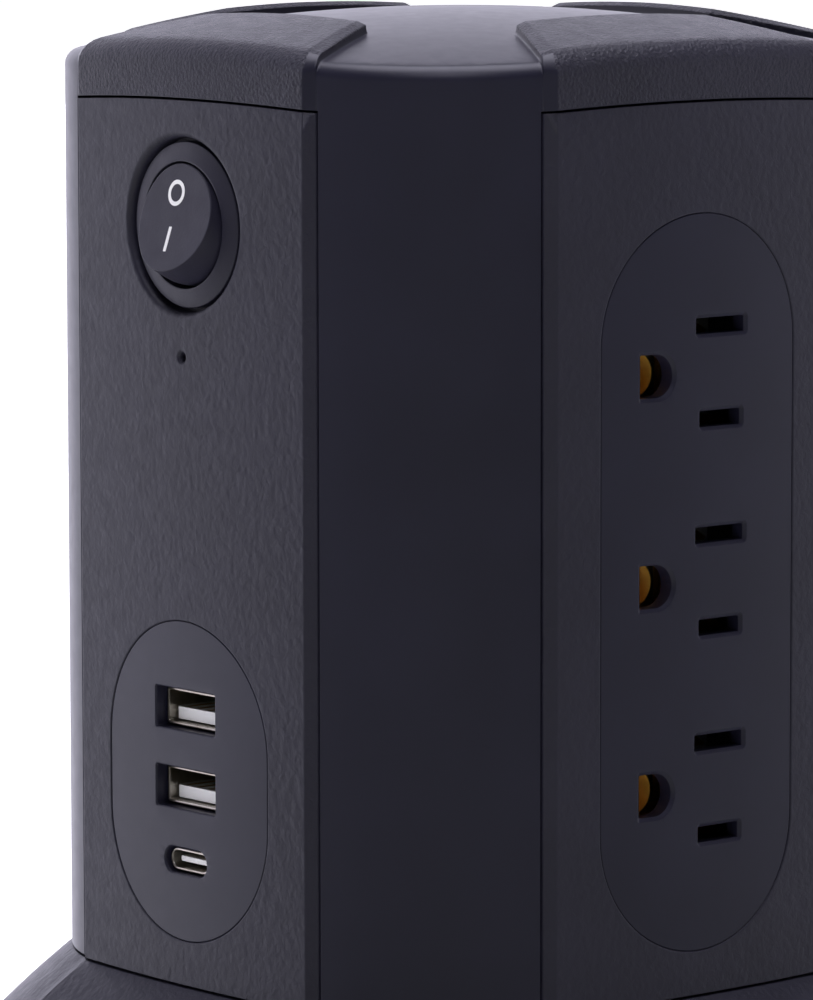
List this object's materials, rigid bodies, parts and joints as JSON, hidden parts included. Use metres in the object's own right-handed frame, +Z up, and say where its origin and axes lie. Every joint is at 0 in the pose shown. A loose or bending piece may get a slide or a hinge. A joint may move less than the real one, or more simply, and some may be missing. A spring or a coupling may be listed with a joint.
{
  "type": "tower power strip",
  "caption": "Upright four-sided power strip on a flared base, with grounded receptacles on three sides and a rocker switch, indicator and USB ports on the front.",
  "frame": {"origin": "on the tower's axis, on the surface that the rubber feet stand on", "axes": "+Z up; -Y is the front, with the rocker switch and the USB ports; +X is the right-hand side as seen from the front"},
  "size_m": [0.129, 0.129, 0.1615],
  "materials": {
    "housing_satin": "smooth satin moulding",
    "panel_textured": "fine spark-eroded texture",
    "foot_rubber": "matte",
    "steel": "plain nickel-plated",
    "contact_brass": "plain stamped",
    "inner_plastic": "plain moulded",
    "switch_black": "semi-gloss",
    "white_plastic": "plain moulded",
    "circuit_board": "solder mask",
    "varistor_blue": "dipped epoxy",
    "indicator_lens": "clear tinted",
    "wire_black": "PVC insulation",
    "wire_white": "PVC insulation"
  },
  "bodies": {
    "root": {"tower_housing": "housing_satin", "receptacle_face_right": "housing_satin", "receptacle_face_back": "housing_satin", "receptacle_face_left": "housing_satin", "usb_face": "housing_satin", "base_shell": "panel_textured", "bottom_plate": "panel_textured", "switch_panel": "panel_textured", "outlet_panel_right": "panel_textured", "outlet_panel_back": "panel_textured", "outlet_panel_left": "panel_textured", "rubber_foot_1": "foot_rubber", "rubber_foot_2": "foot_rubber", "rubber_foot_3": "foot_rubber", "rubber_foot_4": "foot_rubber", "cord_gland": "foot_rubber", "base_screw_1": "steel", "base_screw_2": "steel", "base_screw_3": "steel", "base_screw_4": "steel", "usb_a_shell_upper": "steel", "usb_a_shell_lower": "steel", "usb_c_shell": "steel", "contact_line_right": "contact_brass", "contact_line_back": "contact_brass", "contact_line_left": "contact_brass", "contact_neutral_right": "contact_brass", "contact_neutral_back": "contact_brass", "contact_neutral_left": "contact_brass", "contact_ground_right": "contact_brass", "contact_ground_back": "contact_brass", "contact_ground_left": "contact_brass", "switch_terminal_line": "contact_brass", "switch_terminal_load": "contact_brass", "receptacle_cover_right": "inner_plastic", "receptacle_cover_back": "inner_plastic", "receptacle_cover_left": "inner_plastic", "usb_transformer": "inner_plastic", "breaker_body": "inner_plastic", "switch_body": "switch_black", "usb_a_tongue_upper": "white_plastic", "usb_a_tongue_lower": "white_plastic", "usb_c_tongue": "white_plastic", "indicator_led": "white_plastic", "usb_board": "circuit_board", "surge_board": "circuit_board", "varistor_1": "varistor_blue", "varistor_2": "varistor_blue", "varistor_3": "varistor_blue", "indicator_light_pipe": "indicator_lens", "wire_breaker_to_switch": "wire_black", "wire_switch_to_board": "wire_black", "wire_usb_supply": "wire_white"},
    "rocker": {"switch_rocker": "switch_black", "switch_plunger": "white_plastic", "switch_spring": "steel"},
    "contact_arm": {"switch_contact_arm": "contact_brass"},
    "reset_button": {"reset_button": "switch_black"}
  },
  "joints": [
    {"name": "rocker_tilt", "type": "hinge", "parent": "root", "child": "rocker", "pos_m": [0, -0.0477, 0.1333], "axis": [1, 0, 0], "range_deg": [0, 30.6]},
    {"name": "contact_arm_tilt", "type": "hinge", "parent": "root", "child": "contact_arm", "pos_m": [0, -0.0371, 0.1333], "axis": [1, 0, 0], "range_deg": [-15.3, 0]},
    {"name": "reset_slide", "type": "slide", "parent": "root", "child": "reset_button", "axis": [0, 1, 0], "range_m": [0, 0.003]}
  ],
  "couplings": [
    {"joint": "contact_arm_tilt", "follows": "rocker_tilt", "ratio": -0.5}
  ]
}
